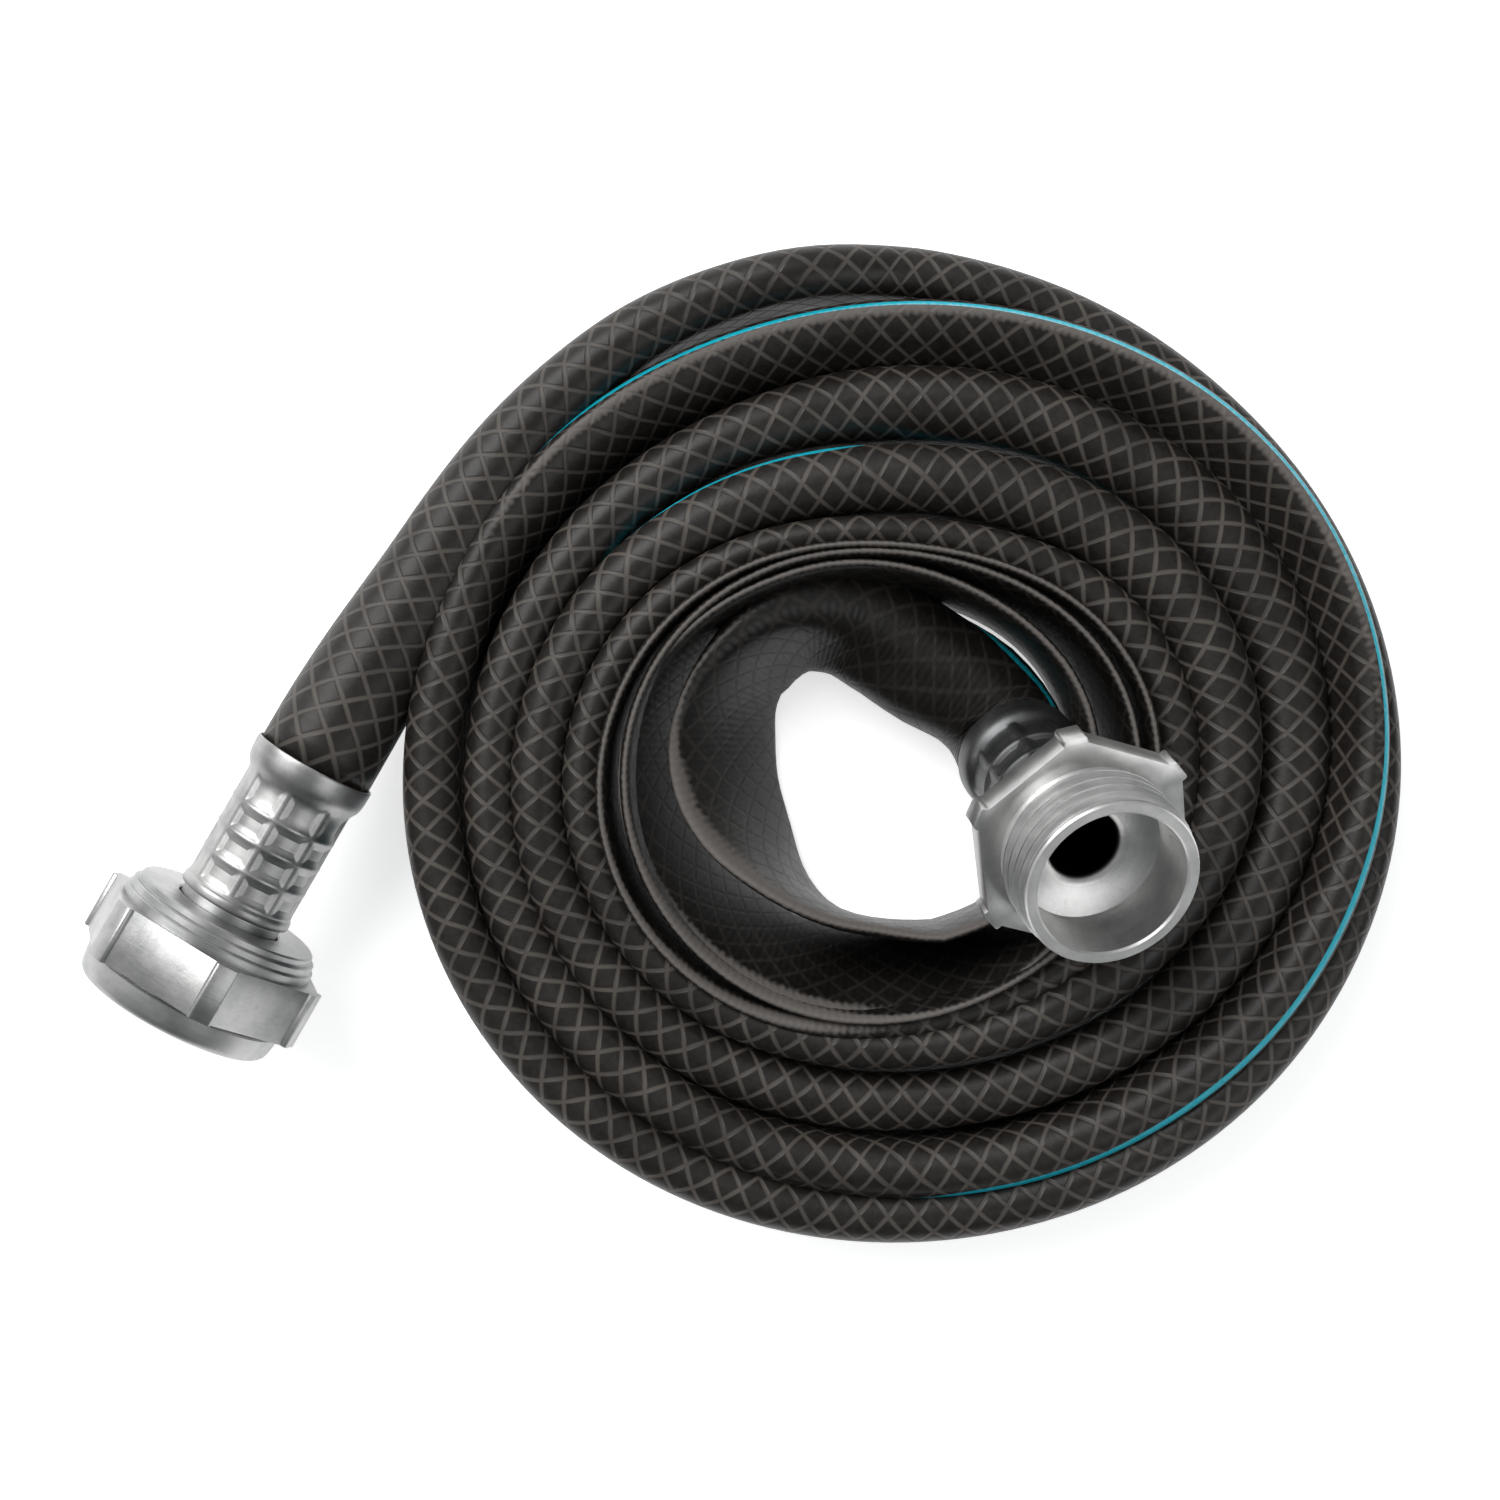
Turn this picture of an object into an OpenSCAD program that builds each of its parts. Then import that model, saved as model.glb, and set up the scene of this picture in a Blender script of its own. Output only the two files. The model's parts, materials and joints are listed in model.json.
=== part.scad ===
// Coiled flat-laying rinse hose with a swivel inlet coupling and a threaded outlet coupling.
// Millimetres, +Z up, standing on Z = 0, origin under the middle of the whole object.

/* [Hose] */
// Outside diameter where the hose is round
hose_od = 18.4; // [16:0.1:24]
// Thickness of the inner tube of the hose wall
liner_t = 0.5; // [0.3:0.05:0.8]
// Thickness of the yarn reinforcement
braid_t = 0.2; // [0.15:0.05:0.4]
// Thickness of the outer cover
cover_t = 0.5; // [0.3:0.05:0.8]

/* [Coil] */
// Outside radius of the coil
coil_r = 78.2; // [70:0.2:94]
// Radius of the hole in the middle of the coil
coil_hole_r = 31.3; // [28:0.1:39]
// Height of the coil, which is the width of the flattened hose
coil_h = 27.4; // [22:0.2:33]
// Height of the coil at its rounder outer turns
coil_rim_h = 24; // [18:0.2:29]

/* [Ferrules] */
// Length of a crimped ferrule
ferrule_len = 25.4; // [22:0.2:31]
// Wall of a ferrule
ferrule_t = 0.8; // [0.6:0.05:1.2]
// Length of the open collar that the hose enters
collar_len = 5.6; // [4:0.2:7]
// Number of rows of crimp marks
crimp_rows = 4; // [3:1:5]
// Number of crimp marks around
crimp_flats = 8; // [6:1:12]

/* [Waterway] */
// Bore of both tailpieces
bore_d = 10.6; // [8:0.2:12.8]
// Wall of a tailpiece inside the hose
stem_t = 1.0; // [0.8:0.1:1.4]
// Height of the barbs that bite the hose
barb_h = 0.35; // [0.2:0.05:0.5]

/* [Hose thread] */
// Crest diameter of the outlet thread
male_thread_d = 27.0; // [22.5:0.1:32.4]
// Radial room between the outlet and inlet threads
thread_room = 0.1; // [0.05:0.05:0.3]
// Distance from thread to thread
thread_pitch = 2.2; // [1.8:0.05:2.6]
// Depth of the thread
thread_depth = 1.0; // [0.8:0.05:1.2]
// Length of the outlet thread
male_thread_len = 11.4; // [9:0.1:14]

/* [Swivel nut] */
// Length of the swivel nut
nut_len = 17.6; // [15:0.1:19]
// Back wall of the nut
nut_back_t = 3; // [2.5:0.1:3.6]
// Thickness of the seal washer
washer_t = 3; // [2:0.1:3.5]
// Wall of the nut outside its thread
nut_wall = 2.2; // [1.6:0.1:3]
// How far the lugs stand out past the round body
nut_lug_h = 3.2; // [2:0.1:4]
// Width of a lug
nut_lug_w = 4.6; // [3:0.1:6]

/* [Outlet coupling] */
// Thickness of the hexagonal flange
flange_t = 4.1; // [3:0.1:5]
// How far the flange stands out past the thread
flange_rim = 2.3; // [1.8:0.1:3]
// How far the flange lugs stand out past the flange
flange_lug_h = 2.0; // [1:0.1:2.6]
// Width of a flange lug
flange_lug_w = 3.4; // [2:0.1:5]
// Wall of the mouth, measured to the thread's crests
mouth_wall = 2.3; // [1.9:0.1:2.8]
// Depth of the mouth
mouth_depth = 10; // [6:0.2:11]

/* [Hidden] */
fine = 96;                  // sides of a turned surface
layer_gap = 0.05;           // between the layers of the hose wall
run_gap = 0.3;              // between the nut and the tailpiece it turns on
rest_gap = 0.3;             // between the outlet flange and the coil it lies on
floor_gap = 0.2;            // between the nut's lugs and the floor

stem_r = bore_d / 2 + stem_t;
wall_t = liner_t + braid_t + cover_t + 2 * layer_gap;
hose_r = hose_od / 2;
grip_r = stem_r + layer_gap;                    // inside of the squeezed hose
ferrule_in_r = grip_r + wall_t + layer_gap;
crimp_r = ferrule_in_r + ferrule_t;
bead_r = crimp_r + 0.6;
collar_r = hose_r + layer_gap + 0.55;
taper_start = 1.6;                              // where the hose begins to narrow
hose_in = ferrule_len - 1.6;                    // how far the hose goes into a ferrule
stem_start = 1.5;                               // from the ferrule's mouth to the tailpiece's tip
barb_count = 6;

thread_r = male_thread_d / 2;
nut_thread_minor_r = thread_r - thread_depth + thread_room;
nut_thread_major_r = thread_r + thread_room + 0.1;
nut_from = ferrule_len + 1.4;                   // back of the nut along the inlet axis
nut_to = nut_from + nut_len;
neck_r = stem_r + 1.9;                          // of the tailpiece in the nut's back wall
seat_r = nut_thread_minor_r - 0.35;             // the tailpiece's flange passes the thread
seat_t = 1.5;
seat_from = nut_from + nut_back_t + run_gap;
washer_from = seat_from + seat_t + 0.1;
washer_r = nut_thread_minor_r - 0.15;
chamber_r = nut_thread_minor_r + 0.5;
nut_lead_in = 0.8;                              // chamfer at the nut's mouth
thread_from = washer_from + washer_t + 0.1;
nut_body_r = nut_thread_major_r + nut_wall;
nut_tip_r = nut_body_r + nut_lug_h;
nut_hex_apothem = nut_body_r + 0.7;
nut_skirt = 4.2;
nut_rings = 3.9;                                // length of the stepped rings at the back
nut_lug_turn = 38;

flange_from = ferrule_len + 1;
flange_to = flange_from + flange_t;
rim_at = flange_to + male_thread_len;
flange_apothem = thread_r + flange_rim - 0.3;
flange_tip_r = thread_r + flange_rim + flange_lug_h;
flange_lug_turn = 45;
mouth_d = male_thread_d - 2 * mouth_wall;

// The inlet lies level on the left, and the outlet leans over the coil.
coil_middle = [25.4, 0.8];
laid_round_r = 78.2;                            // coil radius that the lead was laid round
lead_shift = (coil_r - laid_round_r) * [-0.87, 0.5];
inlet_turn = -120;                              // heading of the inlet axis
inlet_at = [-67.4 + lead_shift[0], -2 + lead_shift[1], nut_tip_r + floor_gap];
outlet_turn = -63.5;
outlet_tilt = 29;
outlet_dir = [sin(outlet_tilt) * cos(outlet_turn), sin(outlet_tilt) * sin(outlet_turn),
              cos(outlet_tilt)];
outlet_at = [42.2, -0.8, coil_h + rest_gap + flange_tip_r * sin(outlet_tilt)
             - flange_from * cos(outlet_tilt)];
inlet_dir = [cos(inlet_turn), sin(inlet_turn), 0];

// Stations of the hose outside the coil: x, y, z, half thickness, half width, lean in degrees.
outer_route = [
    [-62.8, 6.3, 18.0, 9.1, 9.4, 0], [-57.4, 15.8, 15.6, 8.5, 10.0, 0],
    [-51.6, 25.4, 13.8, 7.6, 10.7, 0], [-44.8, 36.6, 12.6, 6.7, 11.3, 0],
    [-37.6, 46.8, 12.1, 5.9, 11.6, 0], [-28.4, 56.4, 12.0, 5.2, 11.8, 0],
    [-17.4, 64.8, 12.0, 4.7, 11.8, 0], [-5.0, 70.6, 12.0, 4.3, 11.8, 0],
    [8.4, 74.0, 12.0, 4.0, 11.8, 0], [22.0, 74.8, 12.0, 3.8, 11.8, 0]];
inner_route = [
    [18.6, -27.8, 13.5, 1.4, 13.5, 2], [11.8, -25.6, 13.5, 1.4, 13.5, -2],
    [5.2, -20.4, 13.2, 1.4, 13.5, -13], [0.0, -13.6, 12.2, 1.4, 13.4, -28],
    [-3.4, -6.2, 11.2, 1.5, 13.4, -36], [-4.2, 1.4, 10.9, 1.6, 13.3, -38],
    [-2.8, 8.8, 11.5, 2.0, 13.0, -32], [1.4, 15.6, 12.0, 3.2, 12.5, -26],
    [7.6, 20.4, 11.8, 5.2, 11.6, -26], [15.2, 20.8, 10.8, 7.0, 10.5, -34],
    [22.2, 17.4, 10.2, 8.0, 10.0, -48], [28.6, 13.2, 10.0, 8.6, 9.7, -66],
    [35.4, 9.4, 9.5, 9.0, 9.4, -82], [39.8, 4.8, 9.35, 9.1, 9.2, -90]];
tube_sides = 12;
black = [0.10, 0.09, 0.08];
silver = [0.78, 0.78, 0.79];

// One piece of the hose wall inside a ferrule, from its outer to its squeezed size.
module hose_layer(from_t, thick) {
    out_loose = hose_r - wall_t + from_t;
    out_tight = grip_r + from_t;
    rotate_extrude($fn = fine) polygon([
        [out_loose, 0], [out_loose + thick, 0], [out_loose + thick, taper_start],
        [out_tight + thick, collar_len], [out_tight + thick, hose_in],
        [out_tight, hose_in], [out_tight, collar_len], [out_loose, taper_start]]);
}

// The crimped sleeve: an open collar, rows of flats pressed in, and a rolled bead.
module ferrule() {
    row = (ferrule_len - collar_len - 1.6) / crimp_rows;
    difference() {
        union() {
            rotate_extrude($fn = fine) polygon([
                [0, 0.2], [collar_r - 0.2, 0], [collar_r, 0.3], [collar_r - 0.15, collar_len - 2.2],
                [crimp_r + 0.4, collar_len], [0, collar_len]]);
            for (i = [0 : crimp_rows - 1]) translate([0, 0, collar_len + i * row]) {
                cylinder(r = crimp_r, h = row - 0.6, $fn = crimp_flats);
                translate([0, 0, row - 0.6]) cylinder(r = crimp_r, h = 0.6, $fn = fine);
            }
            translate([0, 0, ferrule_len - 1.6]) cylinder(r = bead_r, h = 1.6, $fn = fine);
        }
        rotate_extrude($fn = fine) polygon([
            [0, -1], [hose_r + layer_gap, -1], [hose_r + layer_gap, taper_start],
            [ferrule_in_r, collar_len], [ferrule_in_r, ferrule_len + 1], [0, ferrule_len + 1]]);
    }
}

// The barbed outline of a tailpiece inside the hose.
function barbs() = let (step = (hose_in - stem_start) / barb_count) [
    for (i = [0 : barb_count - 1]) each [[stem_r - barb_h, stem_start + i * step],
                                         [stem_r, stem_start + (i + 0.8) * step],
                                         [stem_r, stem_start + (i + 1) * step]]];

// Six lugs on a hexagon with trimmed corners.
module lugged_hexagon(apothem, round_r, tip_r, lug_w, tall, turn) {
    rotate([0, 0, turn]) {
        intersection() {
            cylinder(r = apothem / cos(30), h = tall, $fn = 6);
            cylinder(r = round_r, h = tall, $fn = fine);
        }
        for (k = [0 : 5]) rotate([0, 0, 60 * k]) linear_extrude(tall) polygon([
            [0, -lug_w / 2 - 0.4], [round_r - 0.8, -lug_w / 2 - 0.4], [tip_r - 0.6, -lug_w / 2],
            [tip_r, -lug_w / 2 + 0.6], [tip_r, lug_w / 2 - 0.6], [tip_r - 0.6, lug_w / 2],
            [round_r - 0.8, lug_w / 2 + 0.4], [0, lug_w / 2 + 0.4]]);
    }
}

// The swept tube of a stretch of hose, closed by flat ends.
function unit(v) = v / norm(v);
function heading(p, i, last) = i == len(p) - 1 && last != undef ? last
    : unit(p[min(i + 1, len(p) - 1)] - p[max(i - 1, 0)]);
function hose_ring(at, dir, thick, wide, lean) = let (
        level = unit(cross(dir, [0, 0, 1])),
        up = unit(cross(level, dir)),
        broad = up * cos(lean) + level * sin(lean),
        flat = cross(dir, broad))
    [for (k = [0 : tube_sides - 1]) at + flat * thick * cos(360 * k / tube_sides)
                                       + broad * wide * sin(360 * k / tube_sides)];
module hose_stretch(route, last_dir) {
    spots = [for (s = route) [s[0], s[1], s[2]]];
    rings = [for (i = [0 : len(route) - 1])
        each hose_ring(spots[i], heading(spots, i, last_dir), route[i][3], route[i][4], route[i][5])];
    count = len(route);
    polyhedron(rings, concat(
        [[for (k = [0 : tube_sides - 1]) k]],
        [for (i = [0 : count - 2], k = [0 : tube_sides - 1]) let (
            a = i * tube_sides + k, b = i * tube_sides + (k + 1) % tube_sides)
            each [[a, a + tube_sides, b + tube_sides], [a, b + tube_sides, b]]],
        [[for (k = [tube_sides - 1 : -1 : 0]) (count - 1) * tube_sides + k]]));
}

module on_inlet() { translate(inlet_at) rotate([0, 90, inlet_turn]) children(); }
module on_outlet() { translate(outlet_at) rotate([0, outlet_tilt, outlet_turn]) children(); }

module hose_coil() {
    edge = 3;
    color(black) translate([coil_middle[0], coil_middle[1], 0]) rotate_extrude($fn = 180) polygon([
        [coil_hole_r, 0], [coil_r - edge, 0], [coil_r, edge], [coil_r, coil_rim_h - edge],
        [coil_r - edge, coil_rim_h], [coil_r - 15, coil_rim_h],
        [coil_hole_r + 14, coil_h], [coil_hole_r, coil_h]]);
}
module hose_outer_lead() {
    reversed = [for (i = [len(outer_route) - 1 : -1 : 0]) let (s = outer_route[i])
        [s[0] + lead_shift[0], s[1] + lead_shift[1], s[2], s[3], s[4], s[5]]];
    mouth = [inlet_at[0], inlet_at[1], inlet_at[2], hose_r, hose_r, 0];
    color(black) hose_stretch(concat(reversed, [mouth]), inlet_dir);
}
module hose_inner_lead() {
    mouth = [outlet_at[0], outlet_at[1], outlet_at[2], hose_r, hose_r, -90];
    color(black) hose_stretch(concat(inner_route, [mouth]), outlet_dir);
}
module inlet_end_liner() { color([0.16, 0.15, 0.14]) on_inlet() hose_layer(0, liner_t); }
module inlet_end_braid() {
    color([0.45, 0.42, 0.38]) on_inlet() hose_layer(liner_t + layer_gap, braid_t);
}
module inlet_end_cover() {
    color(black) on_inlet() hose_layer(liner_t + braid_t + 2 * layer_gap, cover_t);
}
module outlet_end_liner() { color([0.16, 0.15, 0.14]) on_outlet() hose_layer(0, liner_t); }
module outlet_end_braid() {
    color([0.45, 0.42, 0.38]) on_outlet() hose_layer(liner_t + layer_gap, braid_t);
}
module outlet_end_cover() {
    color(black) on_outlet() hose_layer(liner_t + braid_t + 2 * layer_gap, cover_t);
}
module inlet_ferrule() { color(silver) on_inlet() ferrule(); }
module outlet_ferrule() { color(silver) on_outlet() ferrule(); }

module inlet_tailpiece() {
    color(silver) on_inlet() difference() {
        rotate_extrude($fn = fine) polygon(concat(
            [[0, stem_start]], barbs(),
            [[ferrule_in_r - layer_gap, hose_in], [ferrule_in_r - layer_gap, ferrule_len],
             [neck_r, ferrule_len], [neck_r, seat_from], [seat_r, seat_from],
             [seat_r, seat_from + seat_t], [0, seat_from + seat_t]]));
        translate([0, 0, -1]) cylinder(d = bore_d, h = seat_from + seat_t + 2, $fn = fine);
    }
}

module swivel_nut() {
    color(silver) on_inlet() difference() {
        union() {
            rotate_extrude($fn = fine) polygon([
                [0, nut_from], [nut_body_r - 1.3, nut_from], [nut_body_r - 1.3, nut_from + 1.2],
                [nut_body_r - 0.5, nut_from + 1.2], [nut_body_r - 0.5, nut_from + 2.4],
                [nut_body_r, nut_from + 2.4], [nut_body_r, nut_from + nut_rings],
                [nut_body_r - 0.3, nut_to - nut_skirt - 0.3], [nut_body_r + 0.4, nut_to - nut_skirt],
                [nut_body_r - 0.2, nut_to - 0.6], [nut_body_r - 0.8, nut_to], [0, nut_to]]);
            translate([0, 0, nut_from + nut_rings]) lugged_hexagon(nut_hex_apothem,
                nut_body_r + 1.4, nut_tip_r, nut_lug_w, nut_len - nut_rings - nut_skirt - 0.4, nut_lug_turn);
        }
        translate([0, 0, nut_from - 1]) cylinder(r = neck_r + run_gap, h = nut_back_t + 2, $fn = fine);
        translate([0, 0, nut_from + nut_back_t])
            cylinder(r = chamber_r, h = thread_from - nut_from - nut_back_t, $fn = fine);
        translate([0, 0, thread_from - 0.5])
            cylinder(r = nut_thread_minor_r, h = nut_to - thread_from + 2, $fn = fine);
        translate([0, 0, nut_to - nut_lead_in]) cylinder(r1 = nut_thread_minor_r,
            r2 = nut_thread_minor_r + nut_lead_in, h = nut_lead_in + 0.01, $fn = fine);
        for (at = [thread_from + 0.9 : thread_pitch : nut_to - 1.8])
            translate([0, 0, at]) thread_groove();
    }
}
// One turn of the inlet thread, a ring whose section has a flat root.
module thread_groove() {
    rotate_extrude($fn = fine) polygon([
        [nut_thread_minor_r - 0.2, -thread_pitch * 0.36], [nut_thread_major_r, -thread_pitch * 0.08],
        [nut_thread_major_r, thread_pitch * 0.08], [nut_thread_minor_r - 0.2, thread_pitch * 0.36]]);
}

module seal_washer() {
    color([0.08, 0.08, 0.08]) on_inlet() translate([0, 0, washer_from]) difference() {
        cylinder(r = washer_r, h = washer_t, $fn = fine);
        translate([0, 0, -1]) cylinder(r = bore_d / 2 + 2.2, h = washer_t + 2, $fn = fine);
    }
}

module outlet_coupling() {
    color(silver) on_outlet() difference() {
        union() {
            rotate_extrude($fn = fine) polygon(concat(
                [[0, stem_start]], barbs(),
                [[ferrule_in_r - layer_gap, hose_in], [ferrule_in_r - layer_gap, ferrule_len],
                 [crimp_r, ferrule_len], [crimp_r, flange_from + 0.5], [0, flange_from + 0.5]]));
            translate([0, 0, flange_from]) lugged_hexagon(flange_apothem,
                flange_apothem + 1.2, flange_tip_r, flange_lug_w, flange_t, flange_lug_turn);
            translate([0, 0, flange_to - 0.2]) cylinder(r = thread_r, h = male_thread_len - 0.6, $fn = fine);
            translate([0, 0, rim_at - 1]) cylinder(r = thread_r - 0.4, h = 1, $fn = fine);
        }
        for (at = [flange_to + 2 : thread_pitch : rim_at - 1.6]) translate([0, 0, at])
            rotate_extrude($fn = fine) polygon([
                [thread_r + 0.2, -thread_pitch * 0.36], [thread_r + 0.2, thread_pitch * 0.36],
                [thread_r - thread_depth, thread_pitch * 0.08],
                [thread_r - thread_depth, -thread_pitch * 0.08]]);
        translate([0, 0, -1]) cylinder(d = bore_d, h = rim_at + 2, $fn = fine);
        translate([0, 0, rim_at - mouth_depth]) cylinder(d = mouth_d, h = mouth_depth + 1, $fn = fine);
        translate([0, 0, rim_at - mouth_depth - 2])
            cylinder(d1 = bore_d, d2 = mouth_d - 2, h = 2.01, $fn = fine);
    }
}

hose_coil();
hose_outer_lead();
hose_inner_lead();
inlet_end_liner();
inlet_end_braid();
inlet_end_cover();
outlet_end_liner();
outlet_end_braid();
outlet_end_cover();
inlet_ferrule();
inlet_tailpiece();
swivel_nut();
seal_washer();
outlet_ferrule();
outlet_coupling();
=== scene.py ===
# Coiled rinse hose with a swivel inlet coupling and a threaded outlet coupling, seen from above.
# Metres, +Z up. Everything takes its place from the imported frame.
import json
import math
import bpy
from mathutils import Euler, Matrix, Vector


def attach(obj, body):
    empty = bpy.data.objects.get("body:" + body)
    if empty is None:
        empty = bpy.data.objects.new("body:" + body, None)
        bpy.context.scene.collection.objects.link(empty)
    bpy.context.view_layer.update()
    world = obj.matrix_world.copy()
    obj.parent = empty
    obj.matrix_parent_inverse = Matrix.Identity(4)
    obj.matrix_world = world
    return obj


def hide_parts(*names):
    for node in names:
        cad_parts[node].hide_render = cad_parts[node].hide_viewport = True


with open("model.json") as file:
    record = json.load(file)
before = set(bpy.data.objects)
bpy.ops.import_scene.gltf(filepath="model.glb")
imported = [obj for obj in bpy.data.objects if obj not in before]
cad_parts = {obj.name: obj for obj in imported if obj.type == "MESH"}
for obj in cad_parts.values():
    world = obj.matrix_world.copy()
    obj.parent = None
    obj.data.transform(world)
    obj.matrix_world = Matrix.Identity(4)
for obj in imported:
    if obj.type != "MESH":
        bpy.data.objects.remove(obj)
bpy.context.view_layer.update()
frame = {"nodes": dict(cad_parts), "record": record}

scene = bpy.context.scene
scene.view_settings.view_transform = "Standard"
mm = 0.001


def deselectAll():
    if bpy.context.object and bpy.context.object.mode != "OBJECT":
        bpy.ops.object.mode_set(mode="OBJECT")
    bpy.ops.object.select_all(action="DESELECT")


# Camera, straight above the object.
view = {
    "height": 0.350,         # above the floor
    "lens": 51.1,            # on a 36 mm sensor
    "centre": (0.0, 0.0),
}


def makeCamera():
    deselectAll()
    x, y = view["centre"]
    bpy.ops.object.camera_add(location=(x, y, view["height"]), rotation=(0, 0, 0))
    camera = bpy.context.object
    camera.name = "viewCamera"
    camera.data.lens = view["lens"]
    camera.data.sensor_width = 36
    camera.data.clip_start = 0.01
    camera.data.clip_end = 20
    scene.camera = camera
    print("camera made")


makeCamera()


# Places of the two hose ends, from the record: the axis points out of the mouth.
def mountPlace(name, backBy):
    mount = next(m for m in frame["record"]["mounts"] if m["name"] == name)
    axis = Vector(mount["axis"]).normalized()
    return Vector(mount["pos_m"]) - axis * backBy * mm, axis


inletAt, inletAxis = mountPlace("inlet_thread", 39.2)
outletAt, outletAxis = mountPlace("outlet_thread", 35.8)


# The hose: one length, from the inlet ferrule round the coil to the outlet ferrule. Millimetres.
hose = {
    "diameter": 18.4,        # when round
    "around": 57.8,          # way round the section, the same everywhere
    "thinnest": 1.15,        # half thickness where it lies flat
    "squeeze": 1.2,          # what two turns pressed together share
    "coilMiddle": (25.4, 0.8),
    "coilFrom": 88,          # degrees travelled clockwise from the left
    "coilTo": 360 * 7 + 270,
    "coilStep": 8,
    # One value for the start of each turn: mean radius, then how the turn is shifted and ovalled.
    # A separate fitting script made most of these numbers. They are data, not sizes chosen by hand, and
    # a few driving sizes should take their place.
    "meanRadius": [78.0, 70.5, 62.4, 52.6, 43.2, 39.6, 36.1, 33.0, 26.5],
    "shiftX": [-5.0, -2.0, -0.5, -1.5, -3.6, -4.3, -4.6, -4.5, -3.8],
    "shiftY": [-0.6, -3.3, -3.1, -4.4, -5.6, -5.5, -4.9, -4.2, -3.4],
    "ovalX": [1.6, 2.2, 2.5, 3.8, 3.9, 3.4, 2.7, 2.0, 1.4],
    "ovalY": [-2.0, 1.0, 1.5, 1.4, 0.9, 0.7, 0.4, 0.1, -0.2],
    # (turns travelled, value): half thickness, how much lower than its neighbours, lean of the top
    # (outwards below 0), place of the stripe outwards of the top, and how far the top is pinched to a lip.
    "thickness": [(0.2, 4.0), (1.0, 4.3), (2.0, 4.4), (2.15, 4.6), (2.26, 6.2), (2.5, 6.2), (2.65, 4.6),
                  (3.0, 4.3), (3.1, 4.4), (3.22, 6.2), (3.5, 6.2), (3.65, 4.6), (4.0, 3.8), (4.12, 4.2),
                  (4.25, 5.6), (4.45, 5.6), (4.6, 3.6), (4.72, 3.5), (4.88, 1.5), (8.0, 1.3)],
    "drop": [(0.12, 0.0), (0.22, 2.0), (0.36, 2.8), (0.55, 2.4), (0.7, 1.2), (0.95, 0.0), (1.8, 0.0),
             (2.1, 1.1), (2.8, 0.8), (3.0, 0.0), (3.2, -0.8), (3.5, -0.8), (3.8, 0.0), (4.1, 0.6),
             (4.7, 0.6), (5.0, 0.0)],
    "lean": [(1.0, 0), (1.12, -20), (1.3, -24), (1.6, -12), (1.8, -3), (2.0, 0), (4.7, 0), (4.85, -8),
             (5.05, 0), (5.6, 0), (5.8, -12), (6.0, -3), (6.6, -4), (6.75, -24), (6.96, -25), (7.15, -6),
             (7.4, 0)],
    "stripe": [(0.2, 17), (1.0, 15), (1.1, 3.4), (1.2, 1.4), (1.3, 0.8), (1.42, 0.9), (1.52, 1.6),
               (1.64, 2.6), (1.72, 4.0), (1.82, 14), (3.02, 14), (3.12, 6.3), (3.2, 6.3), (3.28, 14),
               (8.0, 14)],
    "pinch": [(1.02, 0.0), (1.12, 0.5), (1.4, 0.45), (1.6, 0.0), (4.72, 0.0), (4.88, 0.55), (8.0, 0.55)],
    # Stations of the two stretches that aren't coiled: x, y, z, half thickness, half width, lean
    "outerRoute": [
        (-62.8, 6.3, 18.0, 9.1, 9.4, 0), (-57.4, 15.8, 15.6, 8.5, 10.0, 0),
        (-51.6, 25.4, 13.8, 7.6, 10.7, 0), (-44.8, 36.6, 12.6, 6.7, 11.3, 0),
        (-37.6, 46.8, 12.1, 5.9, 11.6, 0), (-28.4, 56.4, 12.0, 5.2, 11.8, 0),
        (-17.4, 64.8, 12.0, 4.7, 11.8, 0), (-5.0, 70.6, 12.0, 4.3, 11.8, 0),
        (8.4, 74.0, 12.0, 4.0, 11.8, 0)],
    "innerRoute": [
        (18.6, -27.8, 13.5, 1.4, 13.5, 2), (11.8, -25.6, 13.5, 1.4, 13.5, -2),
        (5.2, -20.4, 13.2, 1.4, 13.5, -13), (0.0, -13.6, 12.2, 1.4, 13.4, -28),
        (-3.4, -6.2, 11.2, 1.5, 13.4, -36), (-4.2, 1.4, 10.9, 1.6, 13.3, -38),
        (-2.8, 8.8, 11.5, 2.0, 13.0, -32), (1.4, 15.6, 12.0, 3.2, 12.5, -26),
        (7.6, 20.4, 11.8, 5.2, 11.6, -26), (15.2, 20.8, 10.8, 7.0, 10.5, -34),
        (22.2, 17.4, 10.2, 8.0, 10.0, -48), (28.6, 13.2, 10.0, 8.6, 9.7, -66),
        (35.4, 9.4, 9.5, 9.0, 9.4, -82), (39.8, 4.8, 9.35, 9.1, 9.2, -90)],
    "outerStripe": 17,
    # One value for each station of the inner route.
    "innerStripe": [14, 14, 14, 14, 14, 14, 14, 14, 13, 12, 10, 4, -3.5, -4.5],
    "innerPinch": [0.5, 0.45, 0.4, 0.4, 0.45, 0.5, 0.45, 0.3, 0.1, 0, 0, 0, 0, 0],
    "innerBand": [2.0, 3.2, 4.4, 4.4, 3.0, 1.2, 0, 0, 0, 0, 0, 0, 0, 0],
    # (turns travelled, value): how far the pale edge runs down the inside. The pale edge is partly whitened
    # wear and partly painted sheen.
    "band": [(1.02, 0.0), (1.14, 1.6), (1.4, 1.4), (1.6, 0.0), (4.6, 0.0), (4.8, 2.2), (5.0, 0.0),
             (5.7, 0.0), (5.85, 2.4), (6.0, 0.0), (6.65, 0.0), (6.85, 2.6), (7.1, 0.0), (7.6, 0.4),
             (7.75, 1.6)],
    "ringStep": 2.6,
    "foldSteps": 12,         # faces round each folded edge
    "sideSteps": 8,          # faces across each side
    "braidPitch": 4.7,       # along the hose
    # The pale edge is partly whitened wear, partly painted sheen.
    "lipWidth": 1.8,         # pale edge where the hose is folded flat
}


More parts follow.
